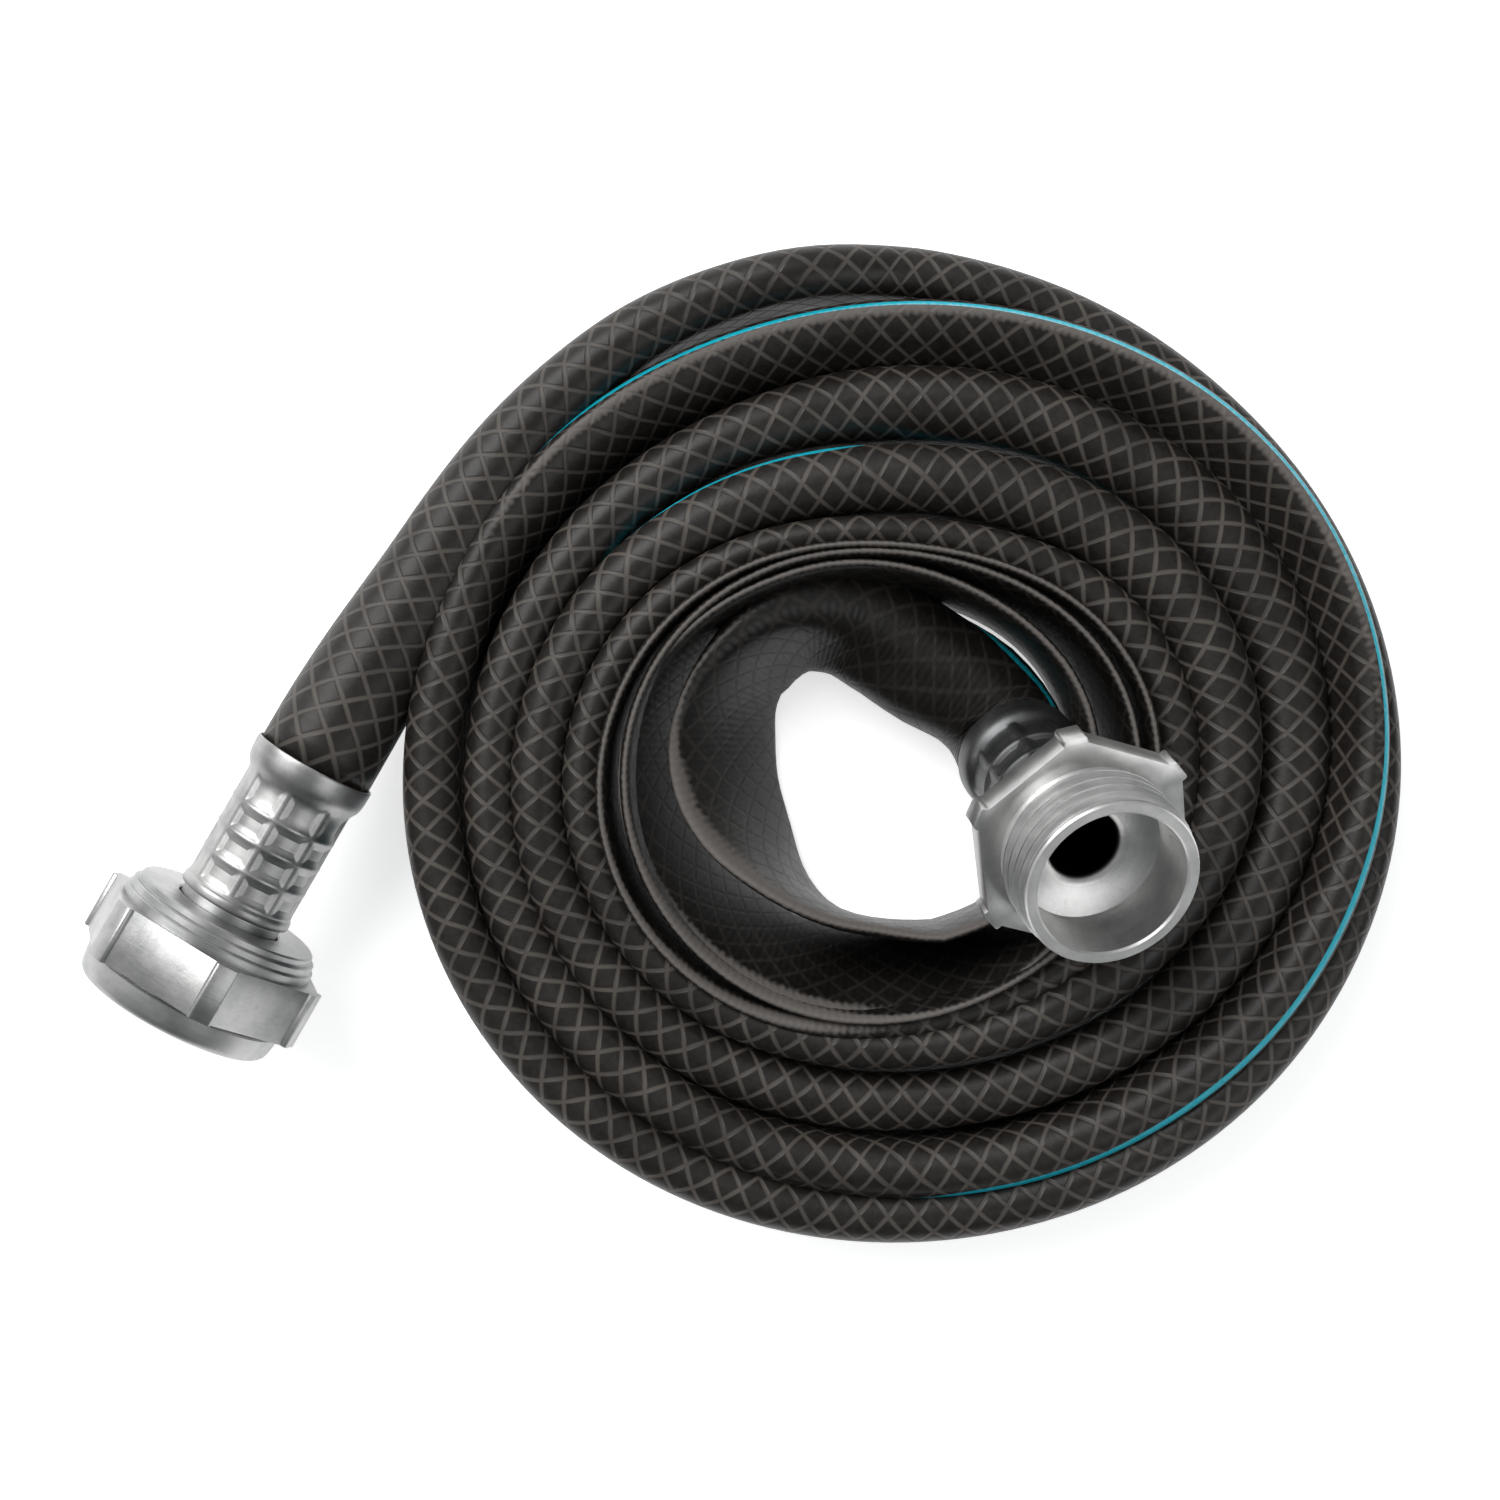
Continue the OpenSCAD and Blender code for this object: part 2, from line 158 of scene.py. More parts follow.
def smoothAt(values, t):                           # a smooth curve through values at 0, 1, 2 ...
    i = min(max(int(t), 0), len(values) - 2)
    f = t - i
    before, a = values[max(i - 1, 0)], values[i]
    b, after = values[i + 1], values[min(i + 2, len(values) - 1)]
    return a + 0.5 * f * (b - before + f * (2 * before - 5 * a + 4 * b - after
                                            + f * (3 * (a - b) + after - before)))


def between(stops, x):                             # eased steps between (x, value) stops
    if x <= stops[0][0]:
        return stops[0][1]
    for (fromX, fromValue), (toX, toValue) in zip(stops, stops[1:]):
        if x <= toX:
            f = (x - fromX) / (toX - fromX)
            return fromValue + (toValue - fromValue) * f * f * (3 - 2 * f)
    return stops[-1][1]


def coilStations():
    count = int((hose["coilTo"] - hose["coilFrom"]) / hose["coilStep"]) + 1
    perTurn = 360 // hose["coilStep"]
    turns = [(hose["coilFrom"] + hose["coilStep"] * i) / 360 for i in range(count)]
    radii, angles = [], []
    for t in turns:
        a = math.pi - t * 2 * math.pi
        shift = smoothAt(hose["shiftX"], t) * math.cos(a) + smoothAt(hose["shiftY"], t) * math.sin(a)
        oval = smoothAt(hose["ovalX"], t) * math.cos(2 * a) + smoothAt(hose["ovalY"], t) * math.sin(2 * a)
        radii.append(smoothAt(hose["meanRadius"], t) + shift + oval)
        angles.append(a)
    half = [between(hose["thickness"], t) for t in turns]
    for sweep in range(4):                         # neighbouring turns share the room between them
        for i in range(count - perTurn):
            room = radii[i] - radii[i + perTurn] + hose["squeeze"]
            share = min(1, room / (half[i] + half[i + perTurn]))
            half[i] *= share
            half[i + perTurn] *= share
    x, y = hose["coilMiddle"]
    stations = []
    for t, r, a, thin in zip(turns, radii, angles, half):
        thin = max(thin, hose["thinnest"])
        wide = thin + (hose["around"] - 2 * math.pi * thin) / 4 - between(hose["drop"], t)
        lean = between(hose["lean"], t)
        high = 0.05 + thin + (wide - thin) * math.cos(math.radians(lean))
        stations.append((x + r * math.cos(a), y + r * math.sin(a), high, thin, wide, lean,
                         between(hose["stripe"], t), between(hose["pinch"], t), between(hose["band"], t), 0))
    return stations


def hoseStations():
    radius = hose["diameter"] / 2
    start = tuple(inletAt / mm) + (radius, radius, 0)
    # A station's last value marks the inner lead, which gets the fine ribs and the painted shade of the flat
    # faces.
    end = tuple(outletAt / mm) + (radius, radius, -90, hose["innerStripe"][-1], 0, 0, 1)
    outer = [row + (hose["outerStripe"], 0, 0, 0) for row in [start] + hose["outerRoute"]]
    marks = zip(hose["innerStripe"], hose["innerPinch"], hose["innerBand"])
    inner = [row + mark + (1,) for row, mark in zip(hose["innerRoute"], marks)]
    return outer + coilStations() + inner + [end]


def evenStations(stations, startWay, endWay):      # smooth curve through the stations, cut in even steps
    rows = [Vector(s) for s in stations]
    first, last = rows[0].copy(), rows[-1].copy()
    reachIn = 10.0
    for k in range(3):
        first[k] -= startWay[k] * reachIn
        last[k] += endWay[k] * reachIn
    rows = [first] + rows + [last]
    fine = []
    for p, a, b, n in zip(rows, rows[1:], rows[2:], rows[3:]):
        for step in range(8):
            f = step / 8
            fine.append(a + 0.5 * f * (b - p + f * (2 * p - 5 * a + 4 * b - n + f * (3 * (a - b) + n - p))))
    fine.append(rows[-2])
    lengths = [0.0]
    for a, b in zip(fine, fine[1:]):
        lengths.append(lengths[-1] + math.dist(a[:3], b[:3]))
    count = round(lengths[-1] / hose["ringStep"])
    even, i = [], 0
    for n in range(count + 1):
        along = lengths[-1] * n / count
        while i < len(fine) - 2 and lengths[i + 1] < along:
            i += 1
        f = (along - lengths[i]) / (lengths[i + 1] - lengths[i])
        even.append((along, fine[i].lerp(fine[i + 1], f)))
    return even


def sectionPoint(arc, thin, straight):             # the point so far round the section from its top
    side = -1 if arc > 0 else 1                    # positive arcs go down the outside
    arc = abs(arc)
    fold = math.pi / 2 * thin
    if arc < fold:
        return side * thin * math.sin(arc / thin), straight + thin * math.cos(arc / thin)
    if arc < fold + 2 * straight:
        return side * thin, straight - (arc - fold)
    rest = (arc - fold - 2 * straight) / thin
    return side * thin * math.cos(rest), -straight - thin * math.sin(rest)


def sectionArcs(around, thin):                     # points lie closer round the folds
    folds, sides = hose["foldSteps"], hose["sideSteps"]
    zone = min(math.pi * thin, around * folds / (2 * (folds + sides)))
    flat = around / 2 - zone
    arcs = [-zone / 2 + zone * k / folds for k in range(folds)]
    arcs += [zone / 2 + flat * k / sides for k in range(sides)]
    arcs += [around / 2 - zone / 2 + zone * k / folds for k in range(folds)]
    arcs += [around / 2 + zone / 2 + flat * k / sides for k in range(sides)]
    return arcs


def makeHose():
    stations = evenStations(hoseStations(), -inletAxis, outletAxis)
    centres = [Vector(row[:3]) * mm for along, row in stations]
    points, across, lengthways, lipWearAndSheen, flatness = [], [], [], [], []
    for i, (along, row) in enumerate(stations):
        way = (centres[min(i + 1, len(centres) - 1)] - centres[max(i - 1, 0)]).normalized()
        if i == 0:
            way = -inletAxis
        if i == len(centres) - 1:
            way = outletAxis
        level = way.cross(Vector((0, 0, 1))).normalized()
        up = level.cross(way).normalized()
        lean = math.radians(row[5])
        broad = up * math.cos(lean) + level * math.sin(lean)
        flat = way.cross(broad)
        thin = row[3]
        straight = max(row[4] - thin, 0.001)
        around = 2 * math.pi * thin + 4 * straight
        flatNow = min(max((2.6 - thin) / 0.9, 0), 1)
        for arc in sectionArcs(around, thin):
            short = arc if arc < around / 2 else arc - around
            f, b = sectionPoint(short, thin, straight)
            f *= 1 - row[7] * (abs(b) / row[4]) ** 3 * (1 if b > 0 or flatNow > 0 else 0)
            points.append(centres[i] + (flat * f + broad * b) * mm)
            across.append((arc - row[6]) / around)
            band = row[8] if b > 0 else 0
            tipArc = math.copysign(min(abs(short), around / 2 - abs(short)), 1 if short > 0 else -1)
            fromTip = max(0, abs(tipArc + band / 2) - band / 2)
            # pale lip along the folds: partly whitened wear, partly painted sheen
            lipWearAndSheen.append(max(flatNow, row[7] * 2 if b > 0 else 0) * max(0, 1 - fromTip / hose["lipWidth"]))
            # flat faces and the whole inner lead: fine ribs, and painted shade in the cover colour
            flatness.append(max(flatNow, row[9]))
            lengthways.append(along / hose["braidPitch"])
    ring = 2 * (hose["foldSteps"] + hose["sideSteps"])
    faces, corners = [], []
    for i in range(len(stations) - 1):
        for k in range(ring):
            a, b = i * ring + k, i * ring + (k + 1) % ring
            wrap = 1.0 if k == ring - 1 else 0.0
            faces.append((a, b, b + ring, a + ring))
            for corner, add in ((a, 0), (b, wrap), (b + ring, wrap), (a + ring, 0)):
                corners.append((across[corner] + add, lengthways[corner]))
    end = (len(stations) - 1) * ring
    for cap in (list(range(ring))[::-1], [end + k for k in range(ring)]):
        faces.append(tuple(cap))
        corners += [(across[c], lengthways[c]) for c in cap]
    mesh = bpy.data.meshes.new("hose")
    mesh.from_pydata(points, [], faces)
    layer = mesh.uv_layers.new(name="wall")
    for loop, corner in zip(layer.data, corners):
        loop.uv = corner
    for name, values in (("lip", lipWearAndSheen), ("flatness", flatness)):
        mesh.attributes.new(name, "FLOAT", "POINT").data.foreach_set("value", values)
    for face in mesh.polygons:
        face.use_smooth = len(face.vertices) == 4
    piece = bpy.data.objects.new("hose", mesh)
    scene.collection.objects.link(piece)
    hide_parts("hose_coil", "hose_outer_lead", "hose_inner_lead")
    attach(piece, "hose_set")
    total = stations[-1][0] * mm
    print("hose made,", round(total, 3), "m long,", len(faces), "faces")
    return piece, centres, total


hosePiece, hoseLine, hoseLength = makeHose()


# Ways of modelling the metal pieces. Each is made upright on Z, from s = 0 at the hose end, then placed.
def newPiece(name):
    piece = bpy.context.object
    piece.name = name
    piece.data.name = name
    return piece


def drawOutline(name, outline):                    # a closed line of (radius, height), in millimetres
    deselectAll()
    bpy.ops.mesh.primitive_plane_add(size=0.01)
    piece = newPiece(name)
    bpy.ops.object.mode_set(mode="EDIT")
    bpy.context.tool_settings.mesh_select_mode = (True, False, False)
    bpy.ops.mesh.select_all(action="SELECT")
    bpy.ops.mesh.merge(type="CENTER")
    radius, height = outline[0]
    bpy.ops.transform.translate(value=(radius * mm, 0, height * mm))
    for toRadius, toHeight in outline[1:] + outline[:1]:
        step = ((toRadius - radius) * mm, 0, (toHeight - height) * mm)
        bpy.ops.mesh.extrude_vertices_move(TRANSFORM_OT_translate={"value": step})
        radius, height = toRadius, toHeight
    bpy.ops.mesh.select_all(action="SELECT")
    bpy.ops.mesh.remove_doubles(threshold=0.00001)
    return piece


def closeUp():                                     # merges the seam and turns the faces outwards
    bpy.ops.mesh.select_all(action="SELECT")
    bpy.ops.mesh.remove_doubles(threshold=0.00001)
    bpy.ops.mesh.normals_make_consistent(inside=False)
    bpy.ops.object.mode_set(mode="OBJECT")


def turnShell(name, outline, steps=96):
    piece = drawOutline(name, outline)
    bpy.ops.mesh.spin(steps=steps, angle=2 * math.pi, center=(0, 0, 0), axis=(0, 0, 1))
    closeUp()
    return piece


def applyModifier(piece, kind, **settings):
    bpy.context.view_layer.objects.active = piece
    modifier = piece.modifiers.new("work", kind)
    for name, value in settings.items():
        setattr(modifier, name, value)
    bpy.ops.object.modifier_apply(modifier="work")


def pick(piece, mode, test):                       # selects the vertices, edges or faces that pass
    if piece.mode != "OBJECT":
        bpy.ops.object.mode_set(mode="OBJECT")
    bpy.context.tool_settings.mesh_select_mode = (mode == "vertices", mode == "edges", mode == "polygons")
    for kind in ("vertices", "edges", "polygons"):
        for item in getattr(piece.data, kind):
            item.select = kind == mode and test(item)
    bpy.ops.object.mode_set(mode="EDIT")


def cutThread(name, crest, root, fromHeight, toHeight, pitch, steps=72, fade=14):
    out = 1 if crest > root else -1                # a ridge on a stem, or in a nut
    section = [(root - 0.3 * out, -pitch * 0.42), (root, -pitch * 0.40), (crest, -pitch * 0.09),
               (crest, pitch * 0.09), (root, pitch * 0.40), (root - 0.3 * out, pitch * 0.42)]
    ridge = drawOutline(name, [(r, z + fromHeight) for r, z in section])
    bpy.ops.object.mode_set(mode="OBJECT")
    turns = (toHeight - fromHeight) / pitch
    cuts = int(steps * turns)
    applyModifier(ridge, "SCREW", axis="Z", angle=turns * 2 * math.pi, steps=cuts, render_steps=cuts,
                  screw_offset=(toHeight - fromHeight) * mm, use_merge_vertices=False)
    rings = len(ridge.data.vertices) // len(section)
    sink = (root / crest) ** (1 / fade)
    for k in range(fade):                          # both ends run out into the root
        for near in (lambda ring: ring >= rings - fade + k, lambda ring: ring < fade - k):
            pick(ridge, "vertices", lambda v: near(v.index // len(section)))
            bpy.ops.transform.resize(value=(sink, sink, 1), center_override=(0, 0, 0))
    bpy.ops.mesh.select_all(action="SELECT")
    bpy.ops.mesh.fill_holes(sides=0)
    closeUp()
    return ridge


def luggedBand(name, size, fromHeight, toHeight):
    middle = (fromHeight + toHeight) / 2 * mm
    tall = (toHeight - fromHeight) * mm
    start = math.radians(size["lugTurn"])
    deselectAll()
    corner = size["apothem"] / math.cos(math.pi / 6) * mm
    bpy.ops.mesh.primitive_cylinder_add(vertices=6, radius=corner, depth=tall, location=(0, 0, middle),
                                        rotation=(0, 0, start + math.pi / 2))
    band = newPiece(name)
    bpy.ops.object.transform_apply(location=True, rotation=True, scale=True)

    def upright(edge):
        low, high = (band.data.vertices[v].co.z for v in edge.vertices)
        return abs(high - low) > tall / 2

    pick(band, "edges", upright)
    cut = size["lugRoot"] * mm / math.sqrt(3)
    bpy.ops.mesh.bevel(offset=cut, offset_type="OFFSET", segments=1, affect="EDGES")

    def facesLug(face):
        turn = math.atan2(face.normal.y, face.normal.x) - start
        return abs(face.normal.z) < 0.1 and max(math.cos(turn - k * math.pi / 3) for k in range(6)) > 0.99

    pick(band, "polygons", facesLug)
    bpy.ops.mesh.extrude_faces_move(TRANSFORM_OT_shrink_fatten={"value": size["lugOut"] * mm})
    tip = (size["tip"] - 0.6) * mm
    outer = lambda e: upright(e) and all(band.data.vertices[v].co.xy.length > tip for v in e.vertices)
    pick(band, "edges", outer)
    bpy.ops.mesh.bevel(offset=size["lugRound"] * mm, segments=3, affect="EDGES")
    pick(band, "polygons", lambda f: abs(f.normal.z) > 0.9)
    bpy.ops.mesh.delete(type="FACE")
    bpy.ops.object.mode_set(mode="OBJECT")
    deselectAll()
    bpy.ops.mesh.primitive_cylinder_add(vertices=96, radius=size["hole"] * mm, depth=tall,
                                        location=(0, 0, middle), end_fill_type="NOTHING")
    band.select_set(True)
    bpy.context.view_layer.objects.active = band
    bpy.ops.object.join()
    for height in (fromHeight, toHeight):
        level = lambda e: all(abs(band.data.vertices[v].co.z - height * mm) < 0.00001 for v in e.vertices)
        pick(band, "edges", level)
        bpy.ops.mesh.fill(use_beauty=True)
    closeUp()
    applyModifier(band, "BEVEL", width=size["edge"] * mm, segments=2, limit_method="ANGLE", angle_limit=0.6)
    return band


def joinPieces(pieces):
    deselectAll()
    for piece in pieces:
        piece.select_set(True)
    bpy.context.view_layer.objects.active = pieces[0]
    bpy.ops.object.join()
    return pieces[0]


def softShade(piece, degrees):
    deselectAll()
    piece.select_set(True)
    bpy.context.view_layer.objects.active = piece
    bpy.ops.object.shade_smooth_by_angle(angle=math.radians(degrees))


def setOn(piece, at, axis):                        # moves a finished piece onto its hose end
    deselectAll()
    piece.select_set(True)
    bpy.context.view_layer.objects.active = piece
    piece.rotation_euler = Euler((0, math.acos(axis.z), math.atan2(axis.y, axis.x)))
    piece.location = at
    bpy.ops.object.transform_apply(location=True, rotation=True, scale=True)


# Ferrules: an open collar, four rows of eight pads pressed in, and a rolled bead. Millimetres.
ferrule = {
    "length": 25.4,
    "collar": 9.8,           # radius
    "bore": 9.25,            # at the collar
    "squeezed": 7.72,        # inside under the pads
    "ridge": 8.72,           # radius of the ridges between the pads
    "bead": 9.1,
    "rows": [(5.0, 9.6), (10.2, 14.1), (14.7, 18.6), (19.2, 23.1)],
    "pads": 8,
    "columns": 8,            # faces across a pad and the ridge beside it
    "sunk": (0.16, 0.22),    # how deep the pads are pressed, in two steps
    "inset": (0.25, 0.90),
}


def makeFerrule():
    ridge = ferrule["ridge"]
    end = ferrule["length"]
    outline = [(9.3, 0.15), (9.45, 0.0), (9.66, 0.0), (ferrule["collar"], 0.18), (9.78, 1.6), (9.68, 3.0),
               (9.42, 3.9), (9.0, 4.5)]
    for low, high in ferrule["rows"]:
        outline += [(ridge, low + (high - low) * k / 4) for k in range(5)]
        outline += [(ridge + 0.06, high + 0.3)]
    bead, squeezed = ferrule["bead"], ferrule["squeezed"]
    outline += [(ridge, 23.55), (8.95, 23.8), (bead, 24.1), (bead, 24.9), (8.95, end - 0.15), (8.7, end),
                (squeezed, end), (squeezed, 5.6), (ferrule["bore"], 1.6)]
    piece = turnShell("ferrule", outline, ferrule["pads"] * ferrule["columns"])
    step = 2 * math.pi / ferrule["pads"]
    wide = step * (ferrule["columns"] - 1) / ferrule["columns"]

    def isPad(face):
        c = face.center / mm
        turn = math.atan2(c.y, c.x) % step
        return c.xy.length > 8.2 and turn < wide and any(low < c.z < high for low, high in ferrule["rows"])

    pick(piece, "polygons", isPad)
    for inset, sunk in zip(ferrule["inset"], ferrule["sunk"]):
        bpy.ops.mesh.inset(thickness=inset * mm, depth=-sunk * mm, use_boundary=True)
    closeUp()
    applyModifier(piece, "SUBSURF", levels=2, render_levels=2)
    softShade(piece, 50)
    return piece


def makeFerrules():
    first = makeFerrule()
    second = first.copy()
    second.data = first.data.copy()
    scene.collection.objects.link(second)
    ends = ((first, "inlet", inletAt, inletAxis), (second, "outlet", outletAt, outletAxis))
    for piece, end, at, axis in ends:
        piece.name = end + "Ferrule"
        setOn(piece, at, axis)
        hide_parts(end + "_ferrule")
        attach(piece, "hose_set")
    print("ferrules made,", len(first.data.polygons), "faces each")
    return first, second


inletFerrule, outletFerrule = makeFerrules()

# Swivel nut, which turns on the inlet tailpiece. Millimetres along the inlet axis.
nut = {
    "from": 26.8,
    "to": 44.4,
    "backHole": 8.5,
    "backWall": 3.0,
    "band": (30.7, 39.8),
    "lugs": {"apothem": 16.6, "hole": 15.0, "lugTurn": 38, "lugRoot": 3.8, "lugOut": 0.95, "tip": 19.0,
             "lugRound": 0.55, "edge": 0.28},
    "thread": {"crest": 12.65, "root": 13.55, "fromHeight": 35.6, "toHeight": 43.2, "pitch": 2.2},
}


def makeNut():
    back, mouth = nut["from"], nut["to"]
    root = nut["thread"]["root"]
    hole, wall = nut["backHole"], back + nut["backWall"]
    shell = turnShell("swivelNut", [
        (hole + 0.25, back), (14.3, back), (14.6, back + 0.25), (14.6, back + 1.05), (14.75, back + 1.2),
        (15.2, back + 1.2), (15.4, back + 1.4), (15.4, back + 2.25), (15.5, back + 2.4),
        (15.75, back + 2.45), (15.9, back + 2.65), (15.9, back + 4.6), (15.7, back + 4.9),
        (15.6, mouth - 4.9), (15.55, mouth - 4.3), (16.05, mouth - 4.25), (16.28, mouth - 4.0),
        (16.15, mouth - 2.6), (15.95, mouth - 1.2), (15.7, mouth - 0.5), (15.3, mouth - 0.1), (15.0, mouth),
        (14.2, mouth), (13.9, mouth - 0.15), (root, mouth - 0.6), (root, wall + 0.2), (13.3, wall),
        (hole, wall), (hole, back + 0.25)], 128)
    band = luggedBand("nutBand", nut["lugs"], *nut["band"])
    thread = cutThread("nutThread", **nut["thread"])
    piece = joinPieces([shell, band, thread])
    softShade(piece, 32)
    setOn(piece, inletAt, inletAxis)
    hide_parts("swivel_nut")
    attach(piece, "nut")
    print("swivel nut made,", len(piece.data.polygons), "faces")
    return piece


nutPiece = makeNut()

# Outlet coupling: barbed stem, lugged flange, male thread and dished mouth. Millimetres along its axis.
outlet = {
    "stem": 6.3,
    "bore": 5.3,
    "stemFrom": 1.5,
    "stemTo": 23.8,
    "barbs": 6,
    "barbDepth": 0.5,
    "flange": (26.4, 30.5),
    "lugs": {"apothem": 15.5, "hole": 12.7, "lugTurn": 45, "lugRoot": 3.6, "lugOut": 1.0, "tip": 17.8,
             "lugRound": 0.45, "edge": 0.26},
    "thread": {"crest": 13.5, "root": 12.45, "fromHeight": 31.9, "toHeight": 40.4, "pitch": 2.2},
    "rim": 41.9,
    "mouth": 11.2,
}


def makeOutlet():
    bore, stem, rim = outlet["bore"], outlet["stem"], outlet["rim"]
    root = outlet["thread"]["root"]
    step = (outlet["stemTo"] - outlet["stemFrom"]) / outlet["barbs"]
    outline = []
    for i in range(outlet["barbs"]):
        at = outlet["stemFrom"] + i * step
        outline += [(stem - outlet["barbDepth"], at), (stem, at + step * 0.8), (stem, at + step)]
    mouth = outlet["mouth"]
    outline += [(7.6, 23.85), (7.6, 25.4), (8.3, 25.45), (8.5, 25.65), (8.5, 26.6), (12.9, 26.9),
                (12.9, 30.6), (root, 31.0), (root, 40.6), (12.95, 40.9), (13.05, 41.1), (13.05, 41.6),
                (12.8, rim), (11.5, rim), (mouth, rim - 0.3), (mouth, 32.4), (11.0, 31.95), (10.4, 31.7),
                (8.6, 31.3), (6.4, 30.5), (5.7, 30.2), (bore, 29.7), (bore, 1.6)]
    shell = turnShell("outletCoupling", outline, 128)
    flange = luggedBand("outletFlange", outlet["lugs"], *outlet["flange"])
    thread = cutThread("outletThread", **outlet["thread"])
    piece = joinPieces([shell, flange, thread])
    softShade(piece, 32)
    setOn(piece, outletAt, outletAxis)
    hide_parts("outlet_coupling")
    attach(piece, "hose_set")
    print("outlet coupling made,", len(piece.data.polygons), "faces")
    return piece


outletPiece = makeOutlet()


# Materials: sums on node outputs are written as Python.
class Value:
    def __init__(self, finish, socket):
        self.finish = finish
        self.socket = socket

    def math(self, operation, *others):
        values = dict(enumerate((self,) + others))
        return self.finish.make("Math", {"operation": operation}, values)

    def __add__(self, other):
        return self.math("ADD", other)

    def __sub__(self, other):
        return self.math("SUBTRACT", other)

    def __mul__(self, other):
        return self.math("MULTIPLY", other)

    def __rsub__(self, other):
        return self.finish.make("Math", {"operation": "SUBTRACT"}, {0: other, 1: self})

    __radd__ = __add__
    __rmul__ = __mul__


class Finish:
    def __init__(self, name):
        self.material = bpy.data.materials.new(name)
        self.material.use_nodes = True
        self.nodes = self.material.node_tree.nodes
        self.links = self.material.node_tree.links
        self.nodes.clear()
        self.shader = self.nodes.new("ShaderNodeBsdfPrincipled")
        output = self.nodes.new("ShaderNodeOutputMaterial")
        self.links.new(self.shader.outputs[0], output.inputs[0])

    def put(self, socket, value):
        if isinstance(value, Value):
            self.links.new(value.socket, socket)
        else:
            socket.default_value = value

    def make(self, kind, settings=None, values=None, out=0):
        node = self.nodes.new("ShaderNode" + kind)
        for name, value in (settings or {}).items():
            if name == "stops":
                while len(node.color_ramp.elements) < len(value):
                    node.color_ramp.elements.new(0.5)
                for element, (place, colour) in zip(node.color_ramp.elements, value):
                    element.position = place
                    element.color = colour
            else:
                setattr(node, name, value)
        for name, value in (values or {}).items():
            self.put(node.inputs[name], value)
        return Value(self, node.outputs[out])

    def set(self, **values):
        for name, value in values.items():
            self.put(self.shader.inputs[name.replace("_", " ")], value)

    def blend(self, factor, a, b):                 # a colour between two
        settings = {"data_type": "RGBA", "clamp_factor": True}
        return self.make("Mix", settings, {0: factor, 6: a, 7: b}, out=2)

    def noise(self, where, scale, detail=2, rough=0.5):
        values = {"Vector": where, "Scale": scale, "Detail": detail, "Roughness": rough}
        return self.make("TexNoise", None, values)

    def ramp(self, value, low, high, toLow=0.0, toHigh=1.0):
        values = {"Value": value, "From Min": low, "From Max": high, "To Min": toLow, "To Max": toHigh}
        return self.make("MapRange", {"interpolation_type": "SMOOTHSTEP"}, values)

    def bump(self, height, strength, distance):
        values = {"Strength": strength, "Distance": distance, "Height": height}
        self.set(Normal=self.make("Bump", None, values))

    def where(self):
        return self.make("TexCoord", None, None, out="Object")


coverLook = {
    "black": (0.0105, 0.0086, 0.0074, 1),
    "worn": (0.0195, 0.0165, 0.0145, 1),
    "yarn": (0.102, 0.089, 0.079, 1),
    # folded lip colour: partly whitened wear, partly painted sheen
    "lip": (0.150, 0.135, 0.124, 1),
    "cyan": (0.006, 0.420, 0.540, 1),
    "cyanLipWearAndSheen": (0.330, 0.600, 0.680, 1),    # where it runs on a lip: partly the lip's wear, partly painted reflection
    "yarns": 10,             # each way round the hose
    "yarnHalfWidth": 0.108,  # as a share of the yarn pitch
    "stripeHalfWidth": 0.8 / 57.8,
}


